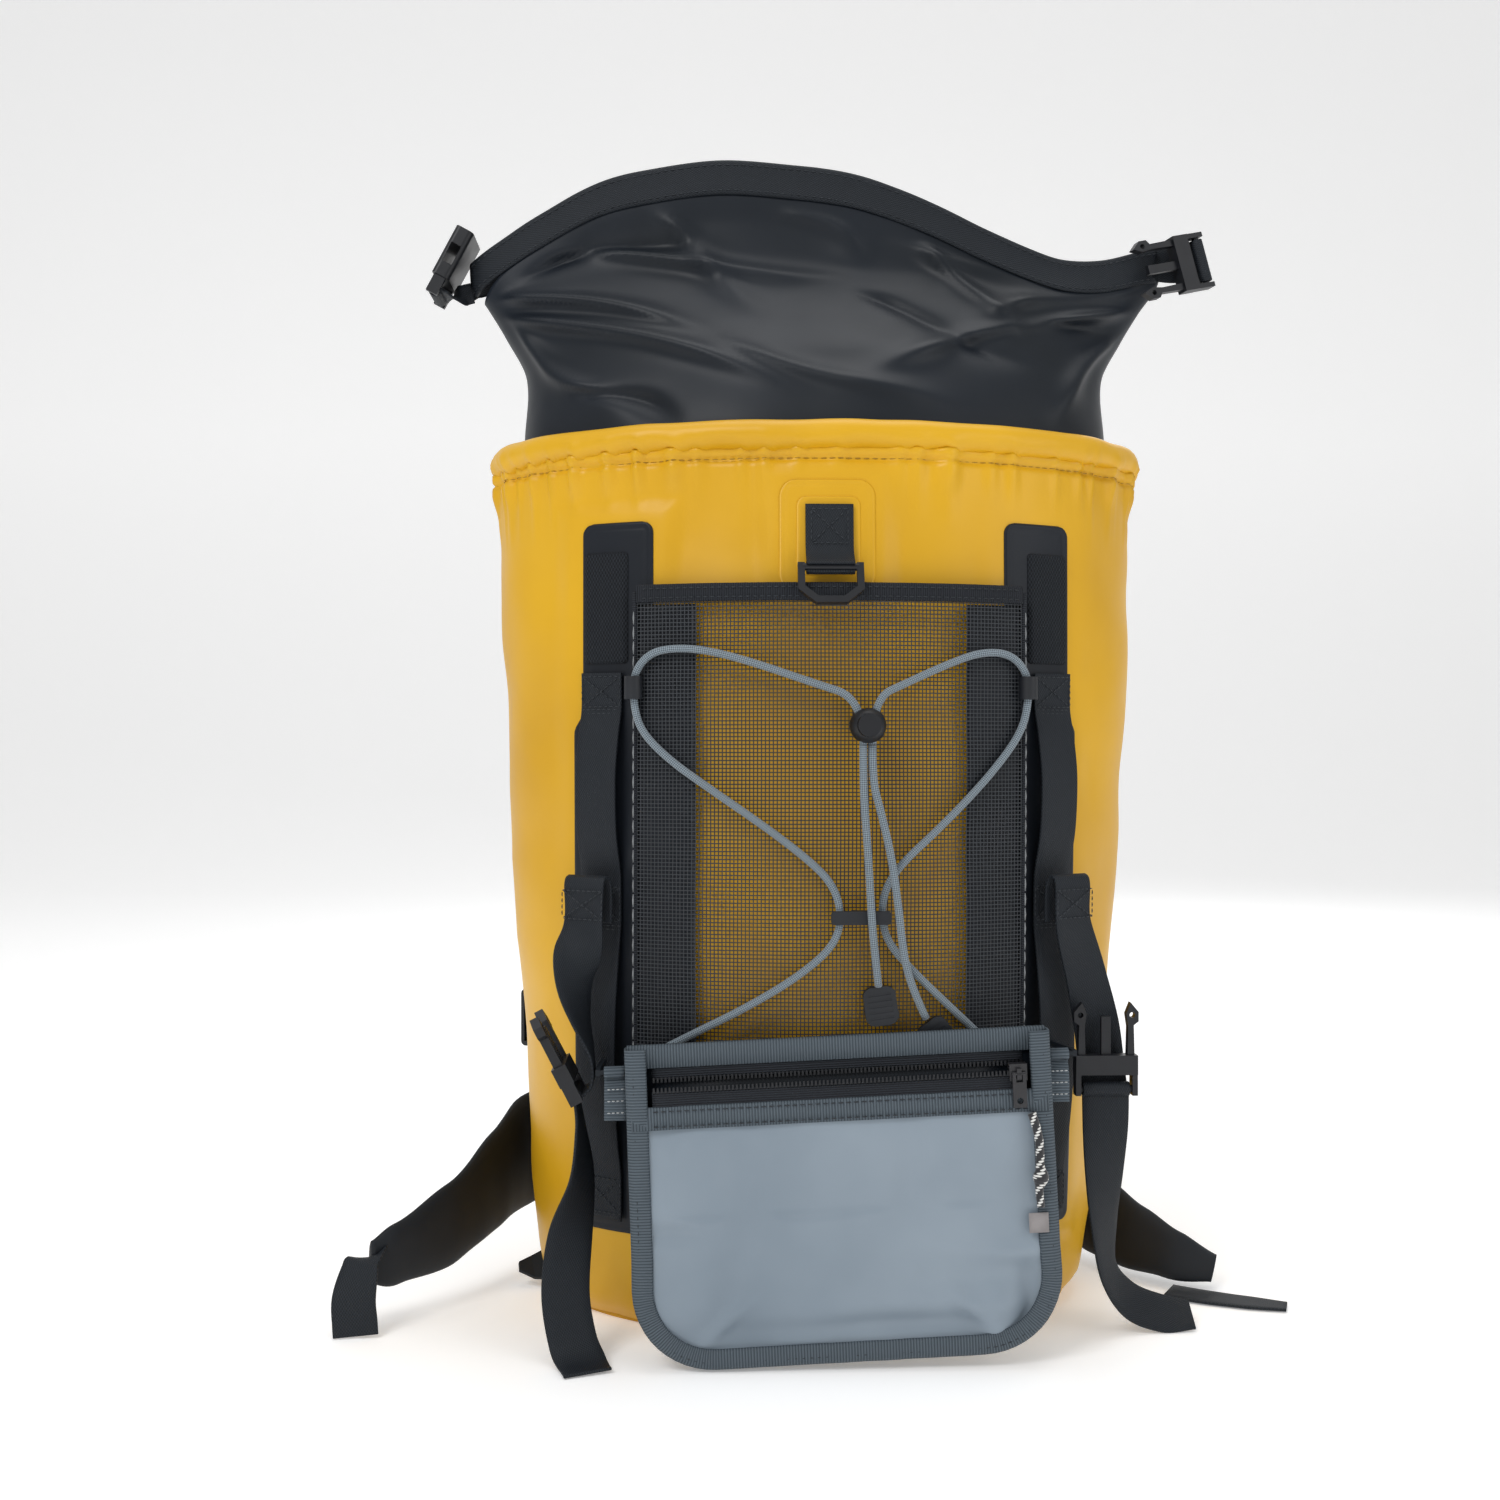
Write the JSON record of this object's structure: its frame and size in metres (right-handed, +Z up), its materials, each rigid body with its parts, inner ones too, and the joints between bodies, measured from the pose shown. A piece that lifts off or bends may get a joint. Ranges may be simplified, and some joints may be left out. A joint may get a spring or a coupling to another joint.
{
  "type": "roll-top dry backpack",
  "caption": "Yellow welded waterproof backpack with a black roll-top collar, mesh front pocket laced with bungee cord, hung zip pouch, side straps, shoulder straps and hip belt.",
  "frame": {"origin": "centre of the underside of the base, where the sack's oval stands on the floor", "axes": "+Z up, -Y out of the front with the mesh pocket, +X to the right of someone who faces the front"},
  "size_m": [0.5307, 0.3289, 0.654],
  "materials": {
    "yellow_tarpaulin": "satin coated tarpaulin",
    "black_coated": "coated, slight sheen",
    "black_webbing": "woven webbing",
    "grey_webbing": "ribbed tape",
    "black_mesh": "open mesh",
    "black_binding": "folded tape",
    "reflective_piping": "dark tape with a reflective thread",
    "grey_coated": "satin coated",
    "zip_tape": "coil zip",
    "black_metal": "satin",
    "black_plastic": "fine grain",
    "bungee_cord": "braided elastic",
    "rubber_tab": "matt",
    "flecked_cord": "braided, light flecks",
    "padding": "padded ripstop",
    "spring_steel": "bright"
  },
  "bodies": {
    "sack": {"main_shell": "yellow_tarpaulin", "rim_hem": "yellow_tarpaulin", "dring_patch": "yellow_tarpaulin", "collar": "black_coated", "base_panel": "black_coated", "lash_patches": "black_coated", "lash_webbing": "black_webbing", "dring_webbing": "black_webbing", "left_side_strap": "black_webbing", "right_side_strap": "black_webbing", "rear_tabs": "black_webbing", "strap_anchors": "black_webbing", "left_shoulder_webbing": "black_webbing", "right_shoulder_webbing": "black_webbing", "grip_patches": "black_webbing", "mesh_panel": "black_mesh", "mesh_top_binding": "black_binding", "base_side_tab": "black_binding", "cord_keepers": "black_binding", "pocket_frame": "reflective_piping", "pouch_hooks": "black_plastic", "bungee_lacing": "bungee_cord", "bungee_tail_left": "bungee_cord", "bungee_tail_right": "bungee_cord", "rim_cord": "bungee_cord", "pull_tab_left": "rubber_tab", "pull_tab_right": "rubber_tab", "back_pad": "padding"},
    "roll_top": {"front_hem_band": "black_coated", "rear_hem_band": "black_coated", "mouth_tabs": "black_webbing"},
    "mouth_socket": {"mouth_socket_buckle": "black_plastic"},
    "mouth_prong": {"mouth_prong_buckle": "black_plastic"},
    "ring": {"d_ring": "black_plastic"},
    "pouch": {"pouch_back": "grey_coated", "pouch_front": "grey_coated", "pouch_binding": "grey_webbing", "pouch_loops": "grey_webbing", "zip_lower": "zip_tape", "zip_upper": "zip_tape"},
    "slider": {"zip_slider": "black_metal"},
    "puller": {"zip_puller": "black_metal", "zip_pull_cord": "flecked_cord", "zip_pull_knot": "flecked_cord"},
    "cord_lock": {"cord_lock_ball": "black_plastic", "cord_lock_spring": "spring_steel"},
    "lock_button": {"cord_lock_plunger": "black_plastic"},
    "left_buckle": {"left_side_buckle": "black_plastic"},
    "right_buckle": {"right_side_buckle": "black_plastic"},
    "left_socket": {"left_rear_socket": "black_plastic"},
    "right_socket": {"right_rear_socket": "black_plastic"},
    "left_wing": {"left_hip_wing": "padding", "left_wing_webbing": "grey_webbing"},
    "right_wing": {"right_hip_wing": "padding", "right_wing_webbing": "grey_webbing"},
    "left_strap": {"left_shoulder_strap": "padding", "left_ladder_lock": "black_plastic"},
    "right_strap": {"right_shoulder_strap": "padding", "right_ladder_lock": "black_plastic"},
    "handle": {"haul_handle": "black_webbing"}
  },
  "joints": [
    {"name": "roll_top_fold", "type": "hinge", "parent": "sack", "child": "roll_top", "pos_m": [0, 0, 0.545], "axis": [1, 0, 0], "range_deg": [-30, 60], "deforming": ["collar"]},
    {"name": "mouth_socket_pivot", "type": "hinge", "parent": "roll_top", "child": "mouth_socket", "pos_m": [-0.221, -0.004, 0.581], "axis": [0, 1, 0], "range_deg": [-110, 0]},
    {"name": "mouth_prong_pivot", "type": "hinge", "parent": "roll_top", "child": "mouth_prong", "pos_m": [0.228, -0.0076, 0.604], "axis": [-0.2599, 0, 0.9656], "range_deg": [0, 120]},
    {"name": "d_ring_swing", "type": "hinge", "parent": "sack", "child": "ring", "pos_m": [-0.0015, -0.1316, 0.409], "axis": [1, 0, 0], "range_deg": [-110, 0]},
    {"name": "pouch_swing", "type": "hinge", "parent": "sack", "child": "pouch", "pos_m": [0.0005, -0.13, 0.154], "axis": [0.9994, 0, 0.035], "range_deg": [-18, 0]},
    {"name": "zip_slide", "type": "slide", "parent": "pouch", "child": "slider", "axis": [-0.999, 0, -0.0436], "range_m": [0, 0.18]},
    {"name": "zip_pull_swing", "type": "hinge", "parent": "slider", "child": "puller", "pos_m": [0.09285, -0.1466, 0.15099], "axis": [0.999, 0, 0.0436], "range_deg": [-80, 0]},
    {"name": "cord_lock_slide", "type": "slide", "parent": "sack", "child": "cord_lock", "axis": [0, 0, 1], "range_m": [-0.014, 0]},
    {"name": "cord_lock_press", "type": "slide", "parent": "cord_lock", "child": "lock_button", "axis": [0, 1, 0], "range_m": [0, 0.0024], "stiffness_N_per_m": 600, "springref_m": -0.002},
    {"name": "left_buckle_pivot", "type": "hinge", "parent": "sack", "child": "left_buckle", "pos_m": [-0.133, -0.112, 0.136], "axis": [0, 1, 0], "range_deg": [-80, 0]},
    {"name": "right_buckle_pivot", "type": "hinge", "parent": "sack", "child": "right_buckle", "pos_m": [0.147, -0.106, 0.135], "axis": [1, 0, 0], "range_deg": [0, 90]},
    {"name": "left_socket_pivot", "type": "hinge", "parent": "sack", "child": "left_socket", "pos_m": [-0.157, 0.084, 0.15], "axis": [0, 0, 1], "range_deg": [-65, 0]},
    {"name": "right_socket_pivot", "type": "hinge", "parent": "sack", "child": "right_socket", "pos_m": [0.157, 0.084, 0.15], "axis": [0, 0, 1], "range_deg": [0, 65]},
    {"name": "left_wing_swing", "type": "hinge", "parent": "sack", "child": "left_wing", "pos_m": [-0.112, 0.103, 0.07], "axis": [0, 0, 1], "range_deg": [-50, 0]},
    {"name": "right_wing_swing", "type": "hinge", "parent": "sack", "child": "right_wing", "pos_m": [0.112, 0.103, 0.064], "axis": [0, 0, 1], "range_deg": [0, 50]},
    {"name": "left_strap_lift", "type": "hinge", "parent": "sack", "child": "left_strap", "pos_m": [-0.062, 0.139, 0.427], "axis": [1, 0, 0], "range_deg": [0, 25], "deforming": ["left_shoulder_webbing"]},
    {"name": "right_strap_lift", "type": "hinge", "parent": "sack", "child": "right_strap", "pos_m": [0.062, 0.139, 0.427], "axis": [1, 0, 0], "range_deg": [0, 25], "deforming": ["right_shoulder_webbing"]},
    {"name": "haul_handle_swing", "type": "hinge", "parent": "sack", "child": "handle", "pos_m": [0, 0.136, 0.4305], "axis": [1, 0, 0], "range_deg": [0, 70]}
  ]
}
